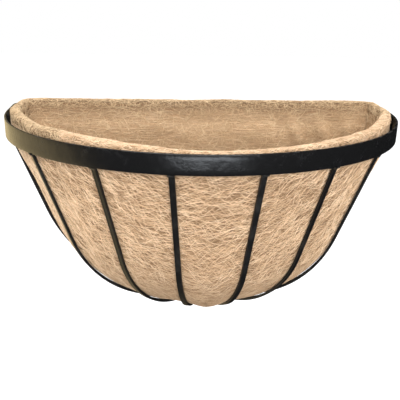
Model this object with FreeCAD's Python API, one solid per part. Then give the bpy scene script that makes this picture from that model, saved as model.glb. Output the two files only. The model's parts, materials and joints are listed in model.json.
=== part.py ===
# Half-round wall basket: a welded flat-bar frame that screws to a wall and carries a loose coir liner.
# Millimetres. X runs along the wall, the basket's front faces -Y, the wall is the plane y = 0, Z is up.
# The origin lies midway between the two screw holes, on the rear face of the bar that lies on the wall.
import FreeCAD, Part
import os
from math import asin, atan, cos, pi, radians, sin, sqrt, tan

Vector = FreeCAD.Vector

# ---- driving dimensions -------------------------------------------------------------------------
# the hoop: one wide flat bar bent into a D, with its straight side on the wall
half_width = 305.0          # centre line to the outside of the hoop's side
side_length = 61.0          # wall to the start of the curved front
front_bulge = 250.0         # curved front's own depth, beyond the straight sides
corner_radius = 16.0        # outside radius of the two rear corners
band_height = 28.0
band_thickness = 3.0
band_edge = 0.7             # rounding on the bar's long edges
# the ribs: narrow flat bars from the hoop down to a plate under the bowl
rib_width = 8.0
rib_thickness = 4.0
rib_edge = 0.6
rib_headings = (-90.0, -62.3, -38.3, -13.6, 15.9, 40.7, 61.0, 90.0)   # degrees off straight ahead
bowl_depth = 300.0          # hoop's top edge to the underside of the ribs
hub_distance = 78.0         # wall to the centre that every rib points at
lean_share = 0.354          # how far a rib's straight side leans in, as a share of its own reach
tail_share = 0.14           # where a rib's level tail starts, as a share of its own reach
tab_drop = 4.0              # hoop's top edge to the top of a rib's tab
tab_bend = 14.0             # outside radius of the bend at the foot of a rib's tab
tab_scarf = 1.0             # how far a tab is ground away, so that it lies flat on the curved hoop
# the back ribs: bars down the wall that turn forward under the liner
back_rib_offset = 100.0     # centre line to each outer back rib
back_bend = 36.0            # outside radius of their bend
# the plate that the ribs' tails are welded on
hub_radius = 50.0
hub_thickness = 3.0
tail_gap = 26.0             # hub centre to the end of each tail
# wall screws
hole_spacing = 300.0
hole_diameter = 6.5
# weld beads
bead_radius = 2.6
bead_length = 10.0          # a little more than a rib's width, so that it wraps round the rib's corners
bead_clear = 0.08           # keeps the ends of a straight run out of the curved hoop
seam_radius = 1.2
seam_offset = 40.0          # centre line to the hoop's closing seam
# the liner: a loose moulded coir shell
liner_thickness = 12.0
liner_gap = 3.0             # liner to the ribs' inner faces, all round the bowl
wall_gap = 1.0              # liner to the back ribs' inner faces
liner_back_bend = 60.0      # outside radius of the liner's lower rear edge
liner_corner = 22.0         # outside radius of the liner's rear corners
liner_rise_front = 4.0      # how far the liner stands above the hoop, in front
liner_rise_back = 9.0       # the same, at the wall
bowl_sections = 9           # outlines that shape each side of the liner below the band

# ---- derived ------------------------------------------------------------------------------------
band_top = band_height / 2
band_bottom = -band_height / 2
floor_z = band_top - bowl_depth
curve_y = -side_length
hub_y = -hub_distance
front_y = curve_y - front_bulge
tab_top = band_top - tab_drop
liner_top_front = band_top + liner_rise_front
liner_top_back = band_top + liner_rise_back
inner_half = half_width - band_thickness
inner_bulge = front_bulge - band_thickness


# ---- outlines -----------------------------------------------------------------------------------
def half_ellipse(centre, half_x, half_y):
    """The half of an ellipse that lies on the -Y side, from +X round to -X."""
    across = Vector(half_x, 0, 0)
    ahead = Vector(0, -half_y, 0)
    if half_x >= half_y:
        ellipse = Part.Ellipse(centre + across, centre + ahead, centre)
    else:
        ellipse = Part.Ellipse(centre + ahead, centre - across, centre)
    start = ellipse.parameter(centre + across)
    end = ellipse.parameter(centre - across)
    if end <= start:
        end += 2 * pi
    return Part.ArcOfEllipse(ellipse, start, end).toShape()


def d_outline(z, half_x, wall_y, side_y, half_y, corner):
    """A D with its straight side at wall_y, its sides straight to side_y, then an elliptic front."""
    left, right = -half_x, half_x
    slant = corner * sin(pi / 4)
    centre_y = wall_y - corner
    def arc(side):
        middle = side * (half_x - corner + slant)
        ends = [Vector(side * half_x, centre_y, z), Vector(side * (half_x - corner), wall_y, z)]
        return Part.Arc(ends[0], Vector(middle, centre_y + slant, z), ends[1]).toShape()
    def line(x0, y0, x1, y1):
        return Part.makeLine(Vector(x0, y0, z), Vector(x1, y1, z))
    edges = [
        line(right, side_y, right, centre_y), arc(1),
        line(right - corner, wall_y, left + corner, wall_y), arc(-1),
        line(left, centre_y, left, side_y),
        half_ellipse(Vector(0, side_y, z), half_x, half_y),
    ]
    return Part.Wire(Part.__sortEdges__(edges))


def prism(outline, height):
    return Part.Face(outline).extrude(Vector(0, 0, height))


# ---- the shape of one rib -----------------------------------------------------------------------
class RibLine:
    """One rib seen side on: r runs out from the hub centre, z up. It drops straight down inside the
    band, leans in, bends through a large arc and ends as a level tail."""

    def __init__(self, reach):
        self.reach = reach
        self.lean = atan(lean_share * reach / (band_bottom - floor_z))
        self.centre_r = tail_share * reach
        self.radius = (reach * (1 - lean_share) - self.centre_r) / tan((pi / 2 - self.lean) / 2)
        self.centre_z = floor_z + self.radius

    def bend_z(self, inset):
        return band_bottom + inset * tan(self.lean / 2)

    def on_arc(self, inset, angle):
        radius = self.radius - inset
        return self.centre_r + radius * cos(angle), self.centre_z - radius * sin(angle)

    def r_at(self, z, inset):
        """Distance from the hub centre at height z, on the line `inset` inside the rib's outer face."""
        radius = self.radius - inset
        arc_top = self.centre_z - radius * sin(self.lean)
        if z >= self.bend_z(inset):
            return self.reach - inset
        if z >= arc_top:
            return self.reach - inset - (self.bend_z(inset) - z) * tan(self.lean)
        return self.centre_r + sqrt(max(radius ** 2 - (self.centre_z - z) ** 2, 0))

    def z_at(self, r):
        """Height of the rib's underside on its bend or tail, at distance r from the hub centre."""
        return self.centre_z - sqrt(self.radius ** 2 - max(r - self.centre_r, 0) ** 2)

    def bend(self, inset):
        """Start, middle and end of the large bend."""
        return tuple(self.on_arc(inset, angle) for angle in (self.lean, (self.lean + pi / 2) / 2, pi / 2))

    def small_bend(self, inset):
        """Start, middle and end of the bend at the foot of the tab."""
        radius = tab_bend - inset
        centre_r = self.reach - tab_bend
        centre_z = band_bottom + tab_bend * tan(self.lean / 2)
        return tuple((centre_r + radius * cos(angle), centre_z - radius * sin(angle))
                     for angle in (0, self.lean / 2, self.lean))

    def under_band(self):
        """Where the outer face leaves the band's lower edge, and how far it has turned in by then."""
        fall = asin(tan(self.lean / 2))
        return self.reach - tab_bend * (1 - cos(fall)), fall

    def face(self):
        """The rib's side view as a face in the XZ plane."""
        inset = rib_thickness
        return bar_face([
            [(self.reach - inset, tab_top), (self.reach, tab_top)],
            self.small_bend(0), self.bend(0),
            [(tail_gap, floor_z), (tail_gap, floor_z + inset)],
            self.bend(inset)[::-1], self.small_bend(inset)[::-1],
            [(self.reach - inset, tab_top)],
        ])


def bar_face(stretches):
    """A face in the XZ plane, from stretches of (x, z) points in order. A list is a straight run and
    a tuple is a bend, given by its start, middle and end. Straight lines join one to the next."""
    edges = []
    last = None
    for stretch in stretches:
        points = [Vector(x, 0, z) for x, z in stretch]
        if last and last.distanceToPoint(points[0]) > 0.01:
            edges.append(Part.makeLine(last, points[0]))
        if type(stretch) is tuple:
            edges.append(Part.Arc(*points).toShape())
        else:
            edges += [Part.makeLine(start, end) for start, end in zip(points, points[1:])]
        last = points[-1]
    return Part.Face(Part.Wire(edges))


def flat_bar(face, width):
    """The side view drawn out to the bar's width, with its four long edges rounded."""
    bar = face.extrude(Vector(0, width, 0)).translated(Vector(0, -width / 2, 0))
    def is_long(edge):
        along_y = abs(edge.tangentAt(edge.FirstParameter).y) > 0.5
        return not along_y and abs(edge.Length - rib_thickness) > rib_edge
    return bar.makeFillet(rib_edge, [edge for edge in bar.Edges if is_long(edge)])


# ---- the hoop and what is welded to it ----------------------------------------------------------
def hoop_outline(z, inset):
    return d_outline(z, half_width - inset, -inset, curve_y, front_bulge - inset, corner_radius - inset)


def make_hoop():
    ring = prism(hoop_outline(band_bottom, 0), band_height)
    ring = ring.cut(prism(hoop_outline(band_bottom, band_thickness), band_height))
    rims = [edge for edge in ring.Edges if edge.BoundBox.ZLength < band_edge]
    ring = ring.makeFillet(band_edge, rims)
    for side in (-1, 1):
        start = Vector(side * hole_spacing / 2, band_thickness, 0)
        ring = ring.cut(Part.makeCylinder(hole_diameter / 2, 3 * band_thickness, start, Vector(0, -1, 0)))
    return ring


def reach_at(heading):
    """Distance from the hub centre to the hoop's inner face, along a heading in degrees."""
    across, ahead = sin(radians(heading)), cos(radians(heading))
    offset = hub_distance - side_length
    a = (across / inner_half) ** 2 + (ahead / inner_bulge) ** 2
    b = offset * ahead / inner_bulge ** 2
    c = (offset / inner_bulge) ** 2 - 1
    return (sqrt(b ** 2 - a * c) - b) / a


def hoop_normal(point):
    """Level direction square to the hoop's inner face, out of the basket, at a point on its front."""
    return Vector(point.x / inner_half ** 2, (point.y - curve_y) / inner_bulge ** 2, 0).normalize()


def aim(shape, heading):
    """Turn a shape drawn along +X to a rib's heading and carry it to the hub centre."""
    turned = shape.rotated(Vector(0, 0, 0), Vector(0, 0, 1), heading - 90)
    return turned.translated(Vector(0, hub_y, 0))


def rib_line(heading):
    return RibLine(reach_at(heading) + tab_scarf)


def make_rib(heading, hoop):
    """One rib, its tab ground to lie flat on the hoop's inner face."""
    return aim(flat_bar(rib_line(heading).face(), rib_width), heading).cut(hoop)


def make_back_rib(x, underside, end_y):
    """A bar down the wall that bends forward and ends at end_y, its level part on `underside`."""
    top_y = -band_thickness
    inner_y = top_y - rib_thickness
    centre_y, centre_z = top_y - back_bend, underside + back_bend
    def bend(radius, *angles):
        return tuple((centre_y + radius * cos(angle), centre_z - radius * sin(angle)) for angle in angles)
    face = bar_face([
        [(inner_y, tab_top), (top_y, tab_top)],
        bend(back_bend, 0, pi / 4, pi / 2),
        [(end_y, underside), (end_y, underside + rib_thickness)],
        bend(back_bend - rib_thickness, pi / 2, pi / 4, 0),
        [(inner_y, tab_top)],
    ])
    bar = flat_bar(face, rib_width).rotated(Vector(0, 0, 0), Vector(0, 0, 1), 90)
    return bar.translated(Vector(x, 0, 0))


def make_hub_plate():
    plate = Part.makeCylinder(hub_radius, hub_thickness, Vector(0, hub_y, floor_z - hub_thickness))
    rims = [edge for edge in plate.Edges if edge.BoundBox.ZLength < rib_edge]
    return plate.makeFillet(rib_edge, rims)


# ---- weld beads ---------------------------------------------------------------------------------
def corner_weld(corner, first, second, along, length):
    """A run of weld in the corner where two faces meet. `first` and `second` point from the corner
    out along each face, and the run goes `along` the corner, half each way."""
    middle = corner + (first + second).normalize() * bead_radius
    start, end = corner + first * bead_radius, corner + second * bead_radius
    edges = [Part.makeLine(corner, start), Part.Arc(start, middle, end).toShape(), Part.makeLine(end, corner)]
    section = Part.Face(Part.Wire(edges)).translated(along * (-length / 2))
    return section.extrude(along * length)


def make_rim_welds():
    """Two runs for each rib: one over the top of its tab, one under the band."""
    beads = []
    for heading in rib_headings:
        turn = radians(heading)
        out = Vector(sin(turn), -cos(turn), 0)
        across = Vector(cos(turn), sin(turn), 0)
        line = rib_line(heading)
        under_r, fall = line.under_band()
        top = Vector(0, hub_y, tab_top) + out * reach_at(heading)
        square = hoop_normal(top)
        top -= square * bead_clear
        along = Vector(0, 0, 1).cross(square)
        under = Vector(0, hub_y, band_bottom) + out * under_r
        down = -out * sin(fall) + Vector(0, 0, -cos(fall))
        beads.append(corner_weld(top, -square, Vector(0, 0, 1), along, bead_length))
        beads.append(corner_weld(under, out, down, across, bead_length))
    return beads


def make_hub_welds():
    """One run over the end of each tail, down on to the plate."""
    beads = []
    for heading in rib_headings + (180.0,):
        turn = radians(heading)
        out = Vector(sin(turn), -cos(turn), 0)
        across = Vector(cos(turn), sin(turn), 0)
        end = Vector(0, hub_y, floor_z) + out * tail_gap
        beads.append(corner_weld(end, -out, Vector(0, 0, 1), across, bead_length))
    return beads


def make_back_welds(bar_places, leg_underside):
    """Each back rib's runs on the hoop, and the upright runs where the outer two meet the legs."""
    beads = []
    along, up, to_wall = Vector(1, 0, 0), Vector(0, 0, 1), Vector(0, 1, 0)
    for x in bar_places:
        beads.append(corner_weld(Vector(x, -band_thickness, tab_top), -to_wall, up, along, bead_length))
        beads.append(corner_weld(Vector(x, -band_thickness, band_bottom), to_wall, -up, along, bead_length))
        for side in (-1, 1) if x else ():
            corner = Vector(x + side * rib_width / 2, leg_rear, leg_underside + rib_thickness / 2)
            beads.append(corner_weld(corner, along * side, to_wall, up, rib_thickness))
    return beads


def make_seam_weld(hoop):
    """The upright run of weld where the hoop's bar closes on itself."""
    start = Vector(seam_offset, -band_thickness, band_bottom + band_edge)
    run = Part.makeCylinder(seam_radius, band_height - 2 * band_edge, start, Vector(0, 0, 1))
    return run.cut(hoop)


# ---- the liner ----------------------------------------------------------------------------------
side_line = RibLine(inner_half)
front_line = RibLine(hub_y - front_y - band_thickness)


def liner_outline(z, inset, wall_y, back_bend_radius, floor):
    """The bowl's outline at height z, `inset` inside the ribs' outer faces."""
    half_x = side_line.r_at(z, inset)
    side_y = hub_y + (curve_y - hub_y) * half_x / inner_half
    half_y = front_line.r_at(z, inset) + side_y - hub_y
    drop = max(floor + back_bend_radius - z, 0)
    back_y = wall_y - back_bend_radius + sqrt(max(back_bend_radius ** 2 - drop ** 2, 0))
    corner = (liner_corner - inset + rib_thickness + liner_gap) * (back_y - side_y) / (wall_y - curve_y)
    return d_outline(z, half_x, back_y, side_y, half_y, corner)


def make_bowl(shrink, top):
    """The liner's outer shape (shrink 0) or its hollow (shrink = the wall's thickness), as a solid."""
    inset = rib_thickness + liner_gap + shrink
    wall_y = -(band_thickness + rib_thickness + wall_gap + shrink)
    floor = floor_z + inset
    bend_radius = liner_back_bend - shrink
    start = side_line.bend_z(inset)
    steps = [index / bowl_sections for index in range(bowl_sections + 1)]
    turns = [side_line.lean + (pi / 2 - side_line.lean) * step for step in steps]
    heights = [side_line.on_arc(inset, turn)[1] for turn in turns]
    middle = (start + heights[0]) / 2
    outlines = [liner_outline(z, inset, wall_y, bend_radius, floor) for z in [start, middle] + heights]
    collar = prism(outlines[0], top - start)
    return collar.fuse(Part.makeLoft(outlines, True, False)).removeSplitter()


def make_liner():
    above = band_height
    shell = make_bowl(0, liner_top_back + above).cut(make_bowl(liner_thickness, liner_top_back + above))
    depth = -front_y
    lid = Part.makeBox(3 * half_width, 2 * depth, 4 * above,
                       Vector(-1.5 * half_width, front_y - depth / 2, liner_top_front))
    tilt = atan((liner_top_back - liner_top_front) / depth) * 180 / pi
    return shell.cut(lid.rotated(Vector(0, front_y, liner_top_front), Vector(1, 0, 0), tilt))


# ---- build and write ----------------------------------------------------------------------------
hoop = make_hoop()
leg_underside = rib_line(rib_headings[0]).z_at(back_rib_offset)
leg_rear = hub_y + rib_width / 2
back_rib_places = (-back_rib_offset, 0, back_rib_offset)

nodes = {
    "rim_hoop": hoop,
    "back_rib_left": make_back_rib(-back_rib_offset, leg_underside, leg_rear),
    "back_rib_centre": make_back_rib(0, floor_z, hub_y + tail_gap),
    "back_rib_right": make_back_rib(back_rib_offset, leg_underside, leg_rear),
    "hub_plate": make_hub_plate(),
    "rim_welds": Part.makeCompound(make_rim_welds()),
    "hub_welds": Part.makeCompound(make_hub_welds()),
    "back_welds": Part.makeCompound(make_back_welds(back_rib_places, leg_underside)),
    "hoop_seam_weld": make_seam_weld(hoop),
    "coir_liner": make_liner(),
}
for number, heading in enumerate(rib_headings, 1):
    nodes[f"rib_{number}"] = make_rib(heading, hoop)

os.makedirs("parts", exist_ok=True)
for name, shape in nodes.items():
    shape.exportStep(f"parts/{name}.step")
    box = shape.BoundBox
    print(f"{name:16s} {len(shape.Solids):2d} solids, valid {shape.isValid()}, {shape.Volume / 1000:9.2f} cm3,"
          f" x {box.XMin:.1f} {box.XMax:.1f}, y {box.YMin:.1f} {box.YMax:.1f}, z {box.ZMin:.1f} {box.ZMax:.1f}")
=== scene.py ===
import json
import math

import bpy
from mathutils import Matrix, Vector, noise
from mathutils.bvhtree import BVHTree

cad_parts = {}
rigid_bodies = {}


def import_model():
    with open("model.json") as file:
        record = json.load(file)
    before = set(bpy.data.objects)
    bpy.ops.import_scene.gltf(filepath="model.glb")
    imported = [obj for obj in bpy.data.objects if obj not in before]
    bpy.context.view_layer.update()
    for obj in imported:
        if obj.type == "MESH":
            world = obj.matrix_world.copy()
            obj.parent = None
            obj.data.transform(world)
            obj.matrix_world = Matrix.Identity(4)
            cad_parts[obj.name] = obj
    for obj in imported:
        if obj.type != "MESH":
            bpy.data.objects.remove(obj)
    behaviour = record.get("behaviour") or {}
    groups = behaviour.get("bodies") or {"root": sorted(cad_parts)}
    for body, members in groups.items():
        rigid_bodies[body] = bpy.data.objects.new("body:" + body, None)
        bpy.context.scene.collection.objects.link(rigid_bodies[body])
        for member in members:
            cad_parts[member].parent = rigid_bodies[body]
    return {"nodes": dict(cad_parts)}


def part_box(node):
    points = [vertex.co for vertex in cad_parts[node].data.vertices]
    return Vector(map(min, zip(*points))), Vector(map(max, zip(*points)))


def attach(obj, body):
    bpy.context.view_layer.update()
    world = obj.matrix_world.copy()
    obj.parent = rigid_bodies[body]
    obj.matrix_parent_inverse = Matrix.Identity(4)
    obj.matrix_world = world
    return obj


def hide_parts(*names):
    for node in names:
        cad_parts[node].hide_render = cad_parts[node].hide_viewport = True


# A half-round wall basket: a black welded flat-bar frame with a loose moulded coir liner.
# Metres. X runs along the wall, the basket faces -Y and Z is up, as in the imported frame.

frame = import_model()
for unused in [o for o in bpy.data.objects if o.name in ("Cube", "Light", "Camera")]:
    bpy.data.objects.remove(unused)
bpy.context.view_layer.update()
scene = bpy.context.scene

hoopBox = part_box("rim_hoop")
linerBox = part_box("coir_liner")
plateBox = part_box("hub_plate")
hub = (plateBox[0] + plateBox[1]) / 2
bandHalf = (hoopBox[1].z - hoopBox[0].z) / 2
ribNames = sorted(name for name in frame["nodes"] if name[:4] == "rib_")
backRibNames = ["back_rib_left", "back_rib_centre", "back_rib_right"]
print("frame read:", len(frame["nodes"]), "nodes")


# ---- node helpers ----
class Sock:
    # wraps a socket, so that maths on it reads as an expression and adds its Math nodes
    def __init__(self, net, out):
        self.net, self.out = net, out

    def math(self, operation, first, second):
        return self.net.node("ShaderNodeMath", {"operation": operation}, {0: first, 1: second})

    def __add__(self, other):
        return self.math("ADD", self, other)

    def __mul__(self, other):
        return self.math("MULTIPLY", self, other)

    def __sub__(self, other):
        return self.math("SUBTRACT", self, other)

    def __rsub__(self, other):
        return self.math("SUBTRACT", other, self)

    __radd__ = __add__
    __rmul__ = __mul__

    def __abs__(self):
        return self.net.node("ShaderNodeMath", {"operation": "ABSOLUTE"}, {0: self})


class Net:
    # a node tree, shader or geometry, built one node at a time
    def __init__(self, tree):
        self.tree = tree

    def put(self, socket, value):
        if isinstance(value, Sock):
            self.tree.links.new(value.out, socket)
        elif socket.type == "RGBA" and len(value) == 3:
            socket.default_value = tuple(value) + (1.0,)
        else:
            socket.default_value = value

    def node(self, kind, settings=None, values=None, out=0):
        made = self.tree.nodes.new(kind)
        for key, value in (settings or {}).items():
            if key == "stops":
                elements = made.color_ramp.elements
                while len(elements) < len(value):
                    elements.new(0.5)
                for element, (place, colour) in zip(elements, value):
                    element.position = place
                    element.color = tuple(colour) + (1.0,)
            else:
                setattr(made, key, value)
        for key, value in (values or {}).items():
            self.put(made.inputs[key], value)
        return Sock(self, made.outputs[out]) if len(made.outputs) else made

    def noise(self, vector, scale, detail=4.0, rough=0.55, distortion=0.0, out=0):
        return self.node("ShaderNodeTexNoise", None, {
            "Vector": vector, "Scale": scale, "Detail": detail, "Roughness": rough,
            "Distortion": distortion}, out)

    def vector(self, operation, *values, out=0):
        return self.node("ShaderNodeVectorMath", {"operation": operation}, dict(enumerate(values)), out)


class Finish(Net):
    # one material
    def __init__(self, name):
        self.material = bpy.data.materials.new(name)
        self.material.use_nodes = True
        super().__init__(self.material.node_tree)
        self.shader = self.tree.nodes["Principled BSDF"]
        self.at = self.node("ShaderNodeTexCoord", out="Object")

    def step(self, value, low, high):
        return self.node("ShaderNodeMapRange", {"interpolation_type": "SMOOTHSTEP"},
                         {"Value": value, "From Min": low, "From Max": high})

    def mix(self, factor, first, second, blend="MIX"):
        return self.node("ShaderNodeMix", {"data_type": "RGBA", "blend_type": blend},
                         {0: factor, 6: first, 7: second}, out=2)

    def bump(self, height, strength, distance):
        return self.node("ShaderNodeBump", None,
                         {"Height": height, "Strength": strength, "Distance": distance})

    def done(self, **sockets):
        for name, value in sockets.items():
            self.put(self.shader.inputs[name.replace("_", " ")], value)
        return self.material


# ---- finishes ----
paint = {
    "black": (0.0055, 0.0055, 0.0058),
    "worn": (0.045, 0.043, 0.040),
    "dust": (0.080, 0.084, 0.092),
    "gloss": 0.19,           # roughness of the band
    "satin": 0.40,           # roughness of the ribs
    "thinEdge": 0.0012,      # how far in from the band's edges the paint is thin
}


def makeBandPaint():
    # gloss paint that flowed a little before it set, with dusty smudges and thin edges
    f = Finish("bandPaint")
    z = f.node("ShaderNodeSeparateXYZ", None, {0: f.at}, out=2)
    edge = f.step(abs(z), bandHalf - paint["thinEdge"], bandHalf)
    wear = edge * f.step(f.noise(f.at, 90.0, 6.0, 0.6), 0.46, 0.62)
    smudge = f.step(f.noise(f.at, 60.0, 6.0, 0.7, 0.3), 0.5, 0.8)
    specks = f.step(f.noise(f.at, 800.0, 2.0), 0.68, 0.75) * f.step(f.noise(f.at, 35.0), 0.5, 0.65)
    colour = f.mix(smudge * 0.06 + specks * 0.3, paint["black"], paint["dust"])
    colour = f.mix(wear * 0.7, colour, paint["worn"])
    roughness = smudge * 0.14 + wear * 0.25 + f.noise(f.at, 160.0, 3.0) * 0.06 + paint["gloss"]
    flow = f.noise(f.at, 52.0, 4.0, 0.55) * 1.1 + f.noise(f.at, 400.0, 3.0, 0.6) * 0.16
    across = abs(z) * (1 / bandHalf)
    crown = across * across * across * across * -1.6
    return f.done(Base_Color=colour, Roughness=roughness, Normal=f.bump(flow + crown, 1.0, 0.0006))


def makeRibPaint():
    # the same paint, thinner and duller, over hot-rolled bar
    f = Finish("ribPaint")
    grime = f.step(f.noise(f.at, 38.0, 6.0, 0.65), 0.45, 0.72)
    pits = f.step(f.noise(f.at, 520.0, 3.0, 0.6), 0.6, 0.72)
    colour = f.mix(grime * 0.3 + pits * 0.18, paint["black"], paint["worn"])
    roughness = grime * 0.16 + pits * 0.1 + paint["satin"]
    height = f.noise(f.at, 140.0, 4.0, 0.6) - pits * 0.25
    return f.done(Base_Color=colour, Roughness=roughness, Normal=f.bump(height, 0.5, 0.0005),
                  Specular_IOR_Level=0.2)


def makeWeldPaint():
    # paint over rippled beads, with a little soot and spatter under it
    f = Finish("weldPaint")
    soot = f.step(f.noise(f.at, 260.0, 5.0, 0.65), 0.42, 0.66)
    colour = f.mix(soot * 0.5, paint["black"], paint["worn"])
    spatter = f.noise(f.at, 1100.0, 4.0, 0.7)
    return f.done(Base_Color=colour, Roughness=soot * 0.2 + 0.34, Normal=f.bump(spatter, 0.6, 0.0004))


coir = {
    "pale": (0.74, 0.545, 0.36),
    "mid": (0.56, 0.38, 0.225),
    "brown": (0.34, 0.205, 0.11),
    "husk": (0.15, 0.08, 0.04),
    "tip": (0.92, 0.76, 0.56),
    "shadeBetweenStrands": (0.50, 0.46, 0.42),    # painted shade: how much darker the mat between the strands is, outside
    "shadeLow": (0.34, 0.225, 0.13),    # painted shade low down, where the bowl curves under and less light reaches it
    "shadeLowFrom": -0.13, "shadeLowTo": -0.27,
}


def shadedLow(f, colour, most):
    # the colour, darker towards the bottom of the bowl: painted shade
    z = f.node("ShaderNodeSeparateXYZ", None, {0: f.at}, out=2)
    patchy = f.noise(f.at, 9.0, 4.0, 0.6) * 0.08 + z - 0.04
    return f.mix(f.step(patchy, coir["shadeLowFrom"], coir["shadeLowTo"]) * most, colour, coir["shadeLow"])


def makeCoirMat():
    # the bound mat under the loose surface strands: criss-cross streaks, patches and bits of husk
    f = Finish("coirMat")
    uv = f.node("ShaderNodeTexCoord", out="UV")
    streaks = 0.0
    for turn, weight in ((0.0, 0.42), (0.42, 0.24), (-0.5, 0.22), (1.35, 0.12)):
        line = f.node("ShaderNodeMapping", None,
                      {"Vector": uv, "Rotation": (0.0, 0.0, turn), "Scale": (30.0, 520.0, 1.0)})
        streaks = f.noise(line, 1.0, 3.0, 0.6, 0.5) * weight + streaks
    streaks = f.step(streaks, 0.44, 0.6)
    patches = f.step(f.noise(f.at, 14.0, 4.0, 0.6), 0.36, 0.66)
    grain = f.noise(f.at, 420.0, 4.0, 0.65)
    husk = f.step(f.noise(f.at, 210.0, 3.0, 0.6), 0.665, 0.73)
    inside = f.node("ShaderNodeAttribute", {"attribute_name": "inside"}, out="Fac")
    colour = f.mix(streaks * 0.75 + grain * 0.25, coir["brown"], coir["pale"])
    colour = f.mix(patches * 0.38, colour, coir["mid"])
    colour = f.mix(inside * 0.3, colour, coir["mid"])
    colour = f.mix(husk * 0.5, colour, coir["husk"])
    # painted shade: the outside mat is darkened where it lies between and under the loose strands, then darker
    # low down
    colour = shadedLow(f, f.mix(1.0 - inside, colour, coir["shadeBetweenStrands"], "MULTIPLY"), 0.6)
    height = streaks + grain * 0.6
    return f.done(Base_Color=colour, Roughness=0.93, Normal=f.bump(height, 0.85, 0.0012),
                  Specular_IOR_Level=0.18)


def makeCoirStrand(name, light, first, span):
    # every strand has its own tint, and changes a little along its length. `light` tints and brightens the
    # colour as painted light, more for the inside of the bowl to lighten its shade
    f = Finish(name)
    tint = f.node("ShaderNodeAttribute", {"attribute_name": "tint"}, out="Fac") * span + first
    stops = ((0.0, coir["brown"]), (0.2, coir["mid"]), (0.62, coir["pale"]), (1.0, coir["tip"]))
    colour = f.node("ShaderNodeValToRGB", {"stops": stops}, {"Fac": tint})
    colour = f.mix(f.step(f.noise(f.at, 130.0, 3.0, 0.6), 0.4, 0.75) * 0.4, colour, coir["mid"])
    colour = f.mix(f.step(f.noise(f.at, 14.0, 4.0, 0.6), 0.36, 0.66) * 0.25, colour, coir["mid"])
    # painted shade: darker towards the bottom of the bowl
    colour = shadedLow(f, f.mix(1.0, colour, light, "MULTIPLY"), 0.8)
    return f.done(Base_Color=colour, Roughness=0.62, Normal=f.bump(f.noise(f.at, 900.0), 0.3, 0.0003),
                  Specular_IOR_Level=0.3)


bandPaint, ribPaint, weldPaint = makeBandPaint(), makeRibPaint(), makeWeldPaint()
coirMat = makeCoirMat()
# painted light: each coat's `light` multiplies its colour, and the inner strands are brightened above the outer
# ones to lighten the shade inside the bowl
coirOuter = makeCoirStrand("coirStrandOuter", (1.04, 1.0, 0.96), 0.0, 1.0)
coirInner = makeCoirStrand("coirStrandInner", (1.10, 1.15, 1.12), 0.22, 0.36)


def dress(name, material):
    mesh = frame["nodes"][name].data
    mesh.materials.clear()
    mesh.materials.append(material)


dress("rim_hoop", bandPaint)
for name in ribNames + backRibNames + ["hub_plate"]:
    dress(name, ribPaint)
for name in ("rim_welds", "hub_welds", "back_welds", "hoop_seam_weld"):
    dress(name, weldPaint)
print("paint on the frame")


def addPiece(name, points, faces, material, body):
    mesh = bpy.data.meshes.new(name)
    mesh.from_pydata(points, [], faces)
    mesh.polygons.foreach_set("use_smooth", [True] * len(faces))
    mesh.materials.append(material)
    piece = bpy.data.objects.new(name, mesh)
    scene.collection.objects.link(piece)
    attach(piece, body)
    return piece




# ---- the liner's skin ----
liner = {
    "columns": 340,          # points round the outline
    "rows": 100,             # points down the outside, and again down the inside
    "rimRows": 7,            # points over the rounded top edge
    "nearRib": 0.0016,       # how much closer to the ribs the mat lies than its plain solid
    "bulgeTop": 0.0010,      # how far it bulges between two ribs, under the band
    "bulgeLow": -0.0015,     # and low down, where the side panels are drawn in
    "belly": 0.0088,         # and low down in the middle, where it carries most of the weight
    "bulgeShare": 0.115,     # most it may bulge, as a share of the gap between the ribs
    "backBulge": 0.0016,     # and against the wall
    "lump": 0.0010,          # slow unevenness of the outside
    "innerLump": 0.0042,     # and of the inside
    "grain": 0.0005,         # quick unevenness
    "rimWave": 0.0009,       # unevenness of the top edge
    "rimGrain": 0.0006,      # and its quick unevenness
    "rimRound": 0.0040,      # how far down the rounding of the top edge reaches
    "sideDent": 0.0065,      # how far the two end panels are drawn in between their ribs
    "sideTurn": (50.0, 64.0),     # headings between which that dent sets in
    "sideFade": (0.30, 0.62),     # shares of the way down between which it dies out
    "endDent": 0.0028,       # how far the short stretch from the last rib to the wall is drawn in
    "endTurn": (88.0, 98.0), "endFade": (0.6, 0.9),
}
rimSpots = (
    # heading, spread of headings, how much higher the edge stands, how much thicker it is
    (-46.0, 24.0, 0.0024, 0.0050),
    (4.0, 34.0, -0.0048, -0.0020),
    (60.0, 20.0, 0.0012, 0.0030),
)
folds = {
    "from": 0.10, "to": 0.27,     # where the soft upright folds lie along the inside of the back
    "pitch": 0.047, "depth": 0.0065, "lean": 0.35,
}


def smooth(low, high, value):
    t = min(max((value - low) / (high - low), 0.0), 1.0)
    return t * t * (3 - 2 * t)


def mixed(low, high, share):
    return low + (high - low) * share


def headingOf(point):
    return math.degrees(math.atan2(point.x - hub.x, hub.y - point.y))


def ribHeading(name):
    top = [v.co for v in frame["nodes"][name].data.vertices if v.co.z > 0]
    return headingOf(sum(top, Vector()) / len(top))


ribHeadings = sorted(ribHeading(name) for name in ribNames)
linerMesh = frame["nodes"]["coir_liner"].data
linerTree = BVHTree.FromPolygons(
    [v.co for v in linerMesh.vertices], [p.vertices for p in linerMesh.polygons])
axis = Vector((0, (linerBox[0].y + linerBox[1].y) * 0.42, 0))
topAtFront = max(v.co.z for v in linerMesh.vertices if v.co.y < linerBox[0].y + 0.01)
topAtBack = linerBox[1].z
wallZone = linerBox[1].y - 0.03       # deeper than this is the flat back wall
backZone = linerBox[1].y - 0.02
rimSplit = linerBox[1].y - 0.10       # deeper than this the top edge is as dull as the inside
dullEnd = -0.200                      # and so it is farther left than this


def topZ(y):
    share = (y - linerBox[0].y) / (linerBox[1].y - linerBox[0].y)
    return mixed(topAtFront, topAtBack, share)


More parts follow.
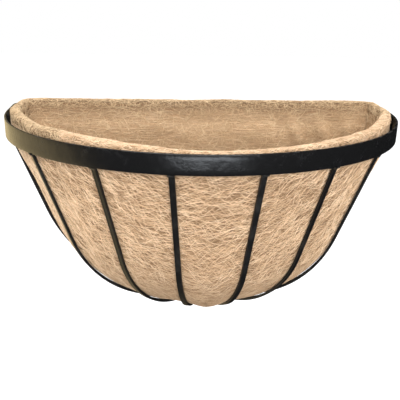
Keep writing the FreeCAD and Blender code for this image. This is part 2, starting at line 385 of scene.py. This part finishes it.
def hit(direction, origin, fromOutside):
    # where the line along `direction` from `origin` meets the wall's outside, or else its inside
    if fromOutside:
        found = linerTree.ray_cast(origin + direction, -direction)
    else:
        found = linerTree.ray_cast(origin, direction)
    return found[0]


def resample(points, count):
    # `count` + 1 points at even distances along a line of points
    runs = [0.0]
    for a, b in zip(points, points[1:]):
        runs.append(runs[-1] + (b - a).length)
    made, index = [], 0
    for step in range(count + 1):
        want = runs[-1] * step / count
        while index < len(runs) - 2 and runs[index + 1] < want:
            index += 1
        span = runs[index + 1] - runs[index]
        made.append(points[index].lerp(points[index + 1], (want - runs[index]) / span if span else 0))
    return made


def outlineDirections():
    # directions from the axis to points spaced evenly round the liner, starting behind
    fine = 1440
    ring = []
    for step in range(fine + 1):
        turn = 2 * math.pi * step / fine
        ring.append(hit(Vector((math.sin(turn), math.cos(turn), 0)), axis, True))
    even = resample(ring, liner["columns"])[:-1]
    return [Vector((p.x - axis.x, p.y - axis.y, 0)).normalized() for p in even]


def profile(direction, outside):
    # one line down the wall, from the top edge to the bottom of the bowl
    level = hit(direction, axis, outside)
    line = [Vector((level.x, level.y, topZ(level.y)))]
    fine = 150
    for step in range(1, fine + 1):
        turn = math.pi / 2 * step / fine
        ray = Vector((direction.x * math.cos(turn), direction.y * math.cos(turn), -math.sin(turn)))
        line.append(hit(ray, axis, outside))
    return resample(line, liner["rows"])


def betweenRibs(point):
    # 0 at a rib and 1 midway between two, and how wide the gap is there
    heading = headingOf(point)
    reach = math.hypot(point.x - hub.x, point.y - hub.y)
    for low, high in zip(ribHeadings, ribHeadings[1:]):
        if low <= heading <= high:
            share = math.sin(math.pi * (heading - low) / (high - low)) ** 1.3
            return share, reach * math.radians(high - low)
    return 0.0, 0.0


def fractal(point, scale, octaves=3):
    return noise.fractal(point * scale, 0.9, 2.1, octaves)


def rimSpot(point):
    # extra height and thickness of the top edge, by heading
    heading, rise, thick = headingOf(point), 0.0, 0.0
    for place, spread, up, wide in rimSpots:
        weight = math.exp(-((heading - place) / spread) ** 2)
        rise, thick = rise + up * weight, thick + wide * weight
    return rise, thick


def dent(point, share, normal):
    # how far the wall, outside and inside alike, is drawn in near the two ends
    between = betweenRibs(point)[0]
    turn = abs(headingOf(point))
    panel = liner["sideDent"] * between * smooth(*liner["sideTurn"], turn)
    end = liner["endDent"] * abs(normal.x) * smooth(*liner["endTurn"], turn)
    return panel * (1 - smooth(*liner["sideFade"], share)) + end * (1 - smooth(*liner["endFade"], share))


def outerOffset(point, share, normal):
    between, gap = betweenRibs(point)
    leftRib, rightRib = max(h for h in ribHeadings if h < 0), min(h for h in ribHeadings if h > 0)
    lowBulge = liner["belly"] if leftRib < headingOf(point) < rightRib else liner["bulgeLow"]
    sag = mixed(liner["bulgeTop"], lowBulge, smooth(0.25, 0.85, share))
    front = smooth(-0.02, -0.09, point.y)
    bulge = min(sag, gap * liner["bulgeShare"]) * between * front
    back = (1 - front) * liner["backBulge"] * max(0.0, math.sin(point.x * math.pi / 0.1)) ** 2
    near = liner["nearRib"] * front * (1 - smooth(0.92, 0.98, share))
    lump = fractal(point, 22.0) * liner["lump"] * (0.3 + 0.7 * between) * front
    lump += fractal(point + Vector((3, 1, 7)), 210.0) * liner["grain"]
    return near + bulge + back + lump - dent(point, share, normal)


def innerOffset(point, share, normal):
    lump = fractal(point + Vector((5, 5, 5)), 11.0) * liner["innerLump"]
    fade = smooth(0.0, 0.12, share)
    thick = rimSpot(point)[1] * (1 - smooth(0.02, 0.3, share))
    inFolds = smooth(folds["from"], folds["from"] + 0.05, point.x)
    inFolds *= 1 - smooth(folds["to"] - 0.03, folds["to"], point.x)
    inFolds *= smooth(wallZone - 0.05, wallZone, point.y) * smooth(0.03, 0.14, share)
    turn = (point.x + point.z * folds["lean"]) * 2 * math.pi / folds["pitch"]
    fold = math.sin(turn) * inFolds * folds["depth"]
    drawn = thick + dent(point, share, normal)
    return lump * fade + drawn + max(fold, -0.003) + fractal(point, 200.0) * liner["grain"]


def gridNormals(grid, flip):
    # outward normals of a grid of points, columns round and rows down
    columns, rows = len(grid), len(grid[0])
    normals = []
    for c in range(columns):
        line = []
        for r in range(rows):
            around = grid[(c + 1) % columns][r] - grid[c - 1][r]
            down = grid[c][min(r + 1, rows - 1)] - grid[c][max(r - 1, 0)]
            normal = around.cross(down)
            if normal.length < 1e-12:
                normal = Vector((0, 0, -1 if not flip else 1))
            line.append(normal.normalized())
        normals.append(line)
    centre = grid[0][0] - axis
    if normals[0][2].dot(Vector((centre.x, centre.y, 0))) * (-1 if flip else 1) < 0:
        normals = [[-n for n in line] for line in normals]
    return normals


def matCoords(point, normal):
    # flat coordinates that follow the mat's strands: along them, then across
    if point.y > wallZone and abs(normal.y) > 0.7:
        return point.x, point.z
    z = frontLine(point.y)
    along = math.copysign(math.hypot(point.x, point.z - z[0]), point.x)
    return along, z[1]


frontTable = []


def frontLine(y):
    # height and distance down the middle of the front, where it lies at depth y
    for a, b in zip(frontTable, frontTable[1:]):
        if a[0] <= y <= b[0]:
            share = (y - a[0]) / max(b[0] - a[0], 1e-9)
            return mixed(a[1], b[1], share), mixed(a[2], b[2], share)
    return frontTable[-1][1], frontTable[-1][2]


def makeLinerSkin():
    directions = outlineDirections()
    outer = [profile(d, True) for d in directions]
    inner = [profile(d, False) for d in directions]
    rows, columns = liner["rows"], liner["columns"]
    foot = Vector((axis.x, axis.y, sum(line[-1].z for line in outer) / columns))
    footInside = Vector((axis.x, axis.y, sum(line[-1].z for line in inner) / columns))
    outerNormals, innerNormals = gridNormals(outer, False), gridNormals(inner, True)
    front = min(range(columns), key=lambda c: outer[c][0].y)
    run = 0.0
    for r, point in enumerate(outer[front]):
        run += (point - outer[front][max(r - 1, 0)]).length
        frontTable.append((point.y, point.z, run))
    points, uvs, inside = [], [], []
    ringSize = rows + liner["rimRows"] + rows
    for c in range(columns):
        edge = Vector((outer[c][0].x, outer[c][0].y, 0))
        wave = fractal(edge, 16.0, 4) * liner["rimWave"] + rimSpot(edge)[0] - liner["rimRound"]
        for r in range(rows - 1, -1, -1):
            point, normal = outer[c][r], outerNormals[c][r]
            moved = point + normal * outerOffset(point, r / rows, normal)
            moved.z += wave * (1 - smooth(0.0, 0.08, r / rows))
            points.append(moved)
            uvs.append(matCoords(point, normal))
            inside.append(0.0)
        a = points[-1]
        top, facing = inner[c][0], innerNormals[c][0]
        b = top + facing * innerOffset(top, 0, facing) + Vector((0, 0, wave))
        for step in range(1, liner["rimRows"] + 1):
            turn = math.pi * step / (liner["rimRows"] + 1)
            at = a.lerp(b, (1 - math.cos(turn)) / 2)
            rough = fractal(at + Vector((0, 0, 9)), 120.0) * liner["rimGrain"]
            at.z += math.sin(turn) ** 0.7 * liner["rimRound"] + rough
            points.append(at)
            uvs.append((at.x, at.y))
            inside.append(0.15)
        for r in range(rows):
            point, normal = inner[c][r], innerNormals[c][r]
            moved = point + normal * innerOffset(point, r / rows, normal)
            moved.z += wave * (1 - smooth(0.0, 0.08, r / rows))
            points.append(moved)
            uvs.append(matCoords(point, normal))
            inside.append(smooth(0.0, 0.06, r / rows) * 0.8 + 0.2)
    faces = []
    for c in range(columns):
        n = (c + 1) % columns
        for r in range(ringSize - 1):
            low, nextLow = c * ringSize + r, n * ringSize + r
            faces.append((low, low + 1, nextLow + 1, nextLow))
    bottom, well = len(points), len(points) + 1
    points += [foot, footInside]
    uvs += [(foot.x, foot.y), (footInside.x, footInside.y)]
    inside += [0.0, 1.0]
    for c in range(columns):
        n = (c + 1) % columns
        faces.append((bottom, c * ringSize, n * ringSize))
        faces.append((well, n * ringSize + ringSize - 1, c * ringSize + ringSize - 1))
    piece = addPiece("coirLiner", points, faces, coirMat, "liner")
    layer = piece.data.uv_layers.new(name="mat")
    for loop in piece.data.loops:
        layer.data[loop.index].uv = uvs[loop.vertex_index]
    piece.data.attributes.new("inside", "FLOAT", "POINT").data.foreach_set("value", inside)
    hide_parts("coir_liner")
    return piece


skin = makeLinerSkin()
print("liner skin:", len(skin.data.vertices), "points")


# ---- loose strands on the liner ----
strand = {
    "points": 4,             # points along a strand
    "corners": 3,            # points round it
    "mostSweep": 0.42,       # most that the side panels' strands slope, in radians
    "perPiece": 8800,        # strands in one piece, so that it stays light
}
coats = [
    {"name": "outerStrands", "zone": "front", "material": coirOuter, "perArea": 105000,
     "length": (0.006, 0.030), "radius": 0.00034, "spread": 1.25, "sweep": 0.8,
     "curl": 0.005, "lift": 0.0007, "tilt": 0.0, "hug": 1.0, "seed": 11},
    {"name": "backStrands", "zone": "back", "material": coirOuter, "perArea": 60000,
     "length": (0.008, 0.036), "radius": 0.00038, "spread": 1.6, "sweep": 0.0,
     "curl": 0.008, "lift": 0.0003, "tilt": 0.0, "hug": 1.0, "seed": 31},
    {"name": "innerStrands", "zone": "inner", "material": coirInner, "perArea": 60000,
     "length": (0.005, 0.020), "radius": 0.00038, "spread": 3.0, "sweep": 0.0,
     "curl": 0.006, "lift": 0.0006, "tilt": 0.0, "hug": 1.0, "seed": 51},
    {"name": "rimStrands", "zone": "rim", "material": coirOuter, "perArea": 200000,
     "length": (0.006, 0.024), "radius": 0.00036, "spread": 1.7, "sweep": 0.0,
     "curl": 0.006, "lift": 0.0009, "tilt": 0.0, "hug": 1.0, "seed": 71},
    {"name": "rimStrandsBehind", "zone": "rimBehind", "material": coirInner, "perArea": 120000,
     "length": (0.005, 0.020), "radius": 0.00036, "spread": 2.6, "sweep": 0.0,
     "curl": 0.006, "lift": 0.0007, "tilt": 0.0, "hug": 1.0, "seed": 171},
    {"name": "strayStrands", "zone": "rim", "material": coirOuter, "perArea": 50000,
     "length": (0.005, 0.016), "radius": 0.0002, "spread": 2.8, "sweep": 0.0,
     "curl": 0.007, "lift": 0.001, "tilt": 1.1, "hug": 0.45, "seed": 91},
]
coatInputs = (("Strands", "NodeSocketFloat"), ("Seed", "NodeSocketInt"), ("Short", "NodeSocketFloat"),
              ("Long", "NodeSocketFloat"), ("Radius", "NodeSocketFloat"), ("Spread", "NodeSocketFloat"),
              ("Sweep", "NodeSocketFloat"), ("Curl", "NodeSocketFloat"), ("Lift", "NodeSocketFloat"),
              ("Tilt", "NodeSocketFloat"), ("Hug", "NodeSocketFloat"), ("Material", "NodeSocketMaterial"))


def strandTree():
    # strands laid on a surface, roughly along the wall's line, then pressed on to it
    tree = bpy.data.node_groups.new("looseStrands", "GeometryNodeTree")
    bed = tree.interface.new_socket("Skin", in_out="INPUT", socket_type="NodeSocketGeometry")
    sockets = {"Skin": bed}
    for name, kind in coatInputs:
        sockets[name] = tree.interface.new_socket(name, in_out="INPUT", socket_type=kind)
    tree.interface.new_socket("Strands", in_out="OUTPUT", socket_type="NodeSocketGeometry")
    net = Net(tree)
    group = tree.nodes.new("NodeGroupInput")
    put = {name: Sock(net, group.outputs[index]) for index, name in enumerate(sockets)}

    def chance(low, high, offset, kind="FLOAT"):
        first, out = (0, 0) if kind == "FLOAT_VECTOR" else (2, 1)
        return net.node("FunctionNodeRandomValue", {"data_type": kind},
                        {first: low, first + 1: high, 8: put["Seed"] + offset}, out)

    scatter = tree.nodes.new("GeometryNodeDistributePointsOnFaces")
    net.put(scatter.inputs["Mesh"], put["Skin"])
    net.put(scatter.inputs["Density"], put["Strands"])
    net.put(scatter.inputs["Seed"], put["Seed"])
    normal = Sock(net, scatter.outputs["Normal"])
    wallLine = (1.0, 0.0, 0.0)
    lean = net.vector("DOT_PRODUCT", normal, wallLine, out=1)
    scaled = net.node("ShaderNodeVectorMath", {"operation": "SCALE"}, {0: normal, "Scale": lean})
    grain = net.vector("NORMALIZE", net.vector("SUBTRACT", wallLine, scaled))
    spot = net.node("GeometryNodeInputPosition")
    x, y = (net.node("ShaderNodeSeparateXYZ", None, {0: spot}, out=axisIndex) for axisIndex in (0, 1))
    sweep = net.node("ShaderNodeMath", {"operation": "ARCTAN2"}, {0: x, 1: hub.y - y})
    sweep = net.node("ShaderNodeClamp", None,
                     {0: sweep * put["Sweep"], 1: -strand["mostSweep"], 2: strand["mostSweep"]})
    angle = (chance(-0.5, 0.5, 1) + chance(-0.5, 0.5, 2)) * put["Spread"] + sweep
    turned = net.node("ShaderNodeVectorRotate", {"rotation_type": "AXIS_ANGLE"},
                      {"Vector": grain, "Axis": normal, "Angle": angle})
    rise = net.node("ShaderNodeVectorMath", {"operation": "SCALE"},
                    {0: normal, "Scale": chance(-0.3, 1.0, 3) * put["Tilt"]})
    heading = net.vector("NORMALIZE", net.vector("ADD", turned, rise))
    rotation = net.node("FunctionNodeAxesToRotation", {"primary_axis": "X", "secondary_axis": "Z"},
                        {0: heading, 1: normal})
    length = chance(put["Short"], put["Long"], 4)
    size = net.node("ShaderNodeCombineXYZ", None, {0: length, 1: 1.0, 2: 1.0})
    line = net.node("GeometryNodeCurvePrimitiveLine", None, {"Start": (-0.5, 0, 0), "End": (0.5, 0, 0)})
    line = net.node("GeometryNodeResampleCurve", None, {"Curve": line, "Count": strand["points"]})
    placed = net.node("GeometryNodeInstanceOnPoints", None, {
        "Points": Sock(net, scatter.outputs["Points"]), "Instance": line, "Rotation": rotation,
        "Scale": size})
    placed = net.node("GeometryNodeStoreNamedAttribute", {"data_type": "FLOAT", "domain": "INSTANCE"},
                      {"Geometry": placed, "Name": "tint", "Value": chance(0.0, 1.0, 5)})
    ownShift = chance((0, 0, 0), (9, 9, 9), 7, "FLOAT_VECTOR")
    placed = net.node("GeometryNodeStoreNamedAttribute",
                      {"data_type": "FLOAT_VECTOR", "domain": "INSTANCE"},
                      {"Geometry": placed, "Name": "own", "Value": ownShift})
    curves = net.node("GeometryNodeRealizeInstances", None, {"Geometry": placed})
    own = net.node("GeometryNodeInputNamedAttribute", {"data_type": "FLOAT_VECTOR"}, {"Name": "own"})
    place = net.node("GeometryNodeInputPosition")
    wander = net.noise(net.vector("ADD", place, own), 34.0, 2.0, 0.5, 0.0, 1)
    wander = net.vector("SUBTRACT", wander, (0.5, 0.5, 0.5))
    wander = net.node("ShaderNodeVectorMath", {"operation": "SCALE"},
                      {0: wander, "Scale": put["Curl"] * 2.0})
    curves = net.node("GeometryNodeSetPosition", None, {"Geometry": curves, "Offset": wander})
    nearest = net.node("GeometryNodeProximity", {"target_element": "FACES"}, {"Target": put["Skin"]})
    outward = net.node("GeometryNodeSampleNearestSurface", {"data_type": "FLOAT_VECTOR"},
                       {"Mesh": put["Skin"], "Value": net.node("GeometryNodeInputNormal")})
    over = net.noise(net.vector("ADD", place, own), 60.0, 1.0)
    raised = net.node("ShaderNodeVectorMath", {"operation": "SCALE"},
                      {0: outward, "Scale": over * put["Lift"] + put["Radius"] * 0.5})
    pressed = net.vector("ADD", nearest, raised)
    target = net.node("ShaderNodeMix", {"data_type": "VECTOR"}, {0: put["Hug"], 4: place, 5: pressed}, 1)
    curves = net.node("GeometryNodeSetPosition", None, {"Geometry": curves, "Position": target})
    ring = net.node("GeometryNodeCurvePrimitiveCircle", None, {
        "Resolution": strand["corners"], "Radius": put["Radius"]})
    along = net.node("GeometryNodeSplineParameter")
    taper = 1.0 - abs(along * 2.0 - 1.0) * 0.55
    thick = net.node("GeometryNodeInputNamedAttribute", {"data_type": "FLOAT"}, {"Name": "tint"})
    tubes = net.node("GeometryNodeCurveToMesh", None, {
        "Curve": curves, "Profile Curve": ring, "Scale": taper * (thick * 0.9 + 0.55),
        "Fill Caps": True})
    tubes = net.node("GeometryNodeSetShadeSmooth", None, {"Geometry": tubes})
    tubes = net.node("GeometryNodeRealizeInstances", None, {"Geometry": tubes})
    tubes = net.node("GeometryNodeSetMaterial", None, {"Geometry": tubes, "Material": put["Material"]})
    finish = tree.nodes.new("NodeGroupOutput")
    net.put(finish.inputs[0], tubes)
    return tree, sockets


def skinPart(zone):
    # a bare copy of one region of the liner's skin for the strands to lie on
    rows, rim = liner["rows"], liner["rimRows"]
    ringSize = rows + rim + rows
    source = skin.data
    keep = []
    for face in source.polygons:
        if len(face.vertices) < 4:
            continue
        low = min(v % ringSize for v in face.vertices)
        place = "rim" if rows - 3 <= low < rows + rim + 2 else "outer" if low < rows else "inner"
        if place == "outer":
            place = "back" if face.center.y > backZone else "front"
        if place == "rim" and (face.center.y > rimSplit or face.center.x < dullEnd):
            place = "rimBehind"
        if place == zone:
            keep.append(tuple(face.vertices))
    used = sorted({v for face in keep for v in face})
    number = {v: i for i, v in enumerate(used)}
    mesh = bpy.data.meshes.new(zone)
    places = [source.vertices[v].co for v in used]
    mesh.from_pydata(places, [], [[number[v] for v in face] for face in keep])
    mesh.polygons.foreach_set("use_smooth", [True] * len(keep))
    return mesh


def layStrands(coat, tree, sockets):
    area = sum(face.area for face in skinPart(coat["zone"]).polygons)
    pieces = max(1, math.ceil(area * coat["perArea"] / strand["perPiece"]))
    for number in range(pieces):
        bed = bpy.data.objects.new("bed", skinPart(coat["zone"]))
        scene.collection.objects.link(bed)
        modifier = bed.modifiers.new("strands", "NODES")
        modifier.node_group = tree
        settings = {"Strands": coat["perArea"] / pieces, "Seed": coat["seed"] + number * 100,
                    "Short": coat["length"][0], "Long": coat["length"][1], "Radius": coat["radius"],
                    "Spread": coat["spread"], "Sweep": coat["sweep"], "Curl": coat["curl"],
                    "Lift": coat["lift"], "Tilt": coat["tilt"], "Hug": coat["hug"], "Material": coat["material"]}
        for name, value in settings.items():
            modifier[sockets[name].identifier] = value
        bpy.context.view_layer.update()
        made = bed.evaluated_get(bpy.context.evaluated_depsgraph_get())
        mesh = bpy.data.meshes.new_from_object(made)
        bpy.data.objects.remove(bed)
        piece = bpy.data.objects.new(f"{coat['name']}_{number + 1}", mesh)
        scene.collection.objects.link(piece)
        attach(piece, "liner")
        print(piece.name, len(mesh.polygons), "faces")


tree, sockets = strandTree()
for coat in coats:
    layStrands(coat, tree, sockets)


# ---- camera, lights and floor ----
view = {
    "turn": -4.459,          # degrees round from straight ahead
    "rise": 20.869,          # degrees above the horizon
    "tilt": 1.406,           # degrees the picture is turned
    "reach": 0.9598,         # camera to target
    "target": (0.0, -0.183, -0.108),
    "lens": 58.4,
    "shift": (-0.0163, 0.0264),
}


def placeCamera():
    turn, rise, tilt = (math.radians(view[key]) for key in ("turn", "rise", "tilt"))
    back = Vector((math.sin(turn) * math.cos(rise), -math.cos(turn) * math.cos(rise), math.sin(rise)))
    right = Vector((0, 0, 1)).cross(back).normalized()
    up = back.cross(right)
    across = right * math.cos(tilt) + up * math.sin(tilt)
    upright = up * math.cos(tilt) - right * math.sin(tilt)
    data = bpy.data.cameras.new("camera")
    data.lens, data.sensor_width = view["lens"], 36.0
    data.shift_x, data.shift_y = view["shift"]
    camera = bpy.data.objects.new("camera", data)
    camera.matrix_world = Matrix.Translation(Vector(view["target"]) + back * view["reach"]) @ Matrix(
        (across, upright, back)).transposed().to_4x4()
    scene.collection.objects.link(camera)
    scene.camera = camera


def addLight(name, place, aim, size, power, colour):
    data = bpy.data.lights.new(name, "AREA")
    data.shape = "RECTANGLE"
    data.size, data.size_y = size
    data.energy, data.color = power, colour
    light = bpy.data.objects.new(name, data)
    light.location = place
    light.rotation_euler = (Vector(aim) - Vector(place)).to_track_quat("-Z", "Y").to_euler()
    scene.collection.objects.link(light)
    return light


studio = {
    "room": (0.66, 0.66, 0.67),       # light from all round
    "dark": (0.016, 0.017, 0.018),    # what the paint mirrors
    "garden": (1.50, 1.18, 0.62),     # the warm patch that the band's left end mirrors
    "gardenSide": (-0.81, 0.51, -0.29),
    "floorHalf": 9, "floorZ": -1.1,
}


def makeStudio():
    scene.view_settings.view_transform = "Standard"
    world = bpy.data.worlds.new("studio")
    world.use_nodes = True
    scene.world = world
    net = Net(world.node_tree)
    paths = world.node_tree.nodes.new("ShaderNodeLightPath")
    seen, mirrored = Sock(net, paths.outputs["Is Camera Ray"]), Sock(net, paths.outputs["Is Glossy Ray"])
    toward = net.node("ShaderNodeTexCoord", out="Generated")
    side = net.vector("DOT_PRODUCT", toward, studio["gardenSide"], out=1)
    garden = net.node("ShaderNodeMapRange", {"interpolation_type": "SMOOTHSTEP"},
                      {"Value": side, "From Min": 0.4, "From Max": 0.95})   # edge and core of the warm patch
    blend = {"data_type": "RGBA"}
    dark = net.node("ShaderNodeMix", blend, {0: garden, 6: studio["dark"], 7: studio["garden"]}, out=2)
    light = net.node("ShaderNodeMix", blend, {0: mirrored, 6: studio["room"], 7: dark}, out=2)
    light = net.node("ShaderNodeMix", blend, {0: seen, 6: light, 7: (1.0, 1.0, 1.0)}, out=2)
    net.put(world.node_tree.nodes["Background"].inputs["Color"], light)
    mesh = bpy.data.meshes.new("floor")
    size, z = studio["floorHalf"], studio["floorZ"]
    mesh.from_pydata([(-size, -size, z), (size, -size, z), (size, size, z), (-size, size, z)],
                     [], [(0, 1, 2, 3)])
    floor = bpy.data.objects.new("floor", mesh)
    f = Finish("paleFloor")
    mottle = f.noise(f.at, 3.0, 4.0)
    mesh.materials.append(f.done(Base_Color=f.mix(mottle * 0.1, (0.93, 0.93, 0.93), (0.88, 0.88, 0.88)),
                                 Roughness=0.9, Emission_Color=(1.0, 1.0, 1.0), Emission_Strength=0.5))
    scene.collection.objects.link(floor)
    floor.visible_glossy = False
    addLight("card", (0.04, -2.2, -0.28), (0, -0.3, 0.0), (1.1, 0.34), 7.5, (0.88, 0.94, 1.0))
    addLight("front", (0.3, -2.2, 0.9), (0, -0.25, -0.05), (1.0, 0.7), 32.0, (1.0, 0.985, 0.97))
    addLight("key", (-0.7, -1.5, 1.6), (0, -0.15, -0.1), (1.2, 0.9), 22.0, (1.0, 0.98, 0.96))
    addLight("sky", (0.0, -0.5, 1.8), (0, -0.12, 0.0), (1.6, 1.2), 22.0, (1.0, 0.99, 0.97))


placeCamera()
makeStudio()
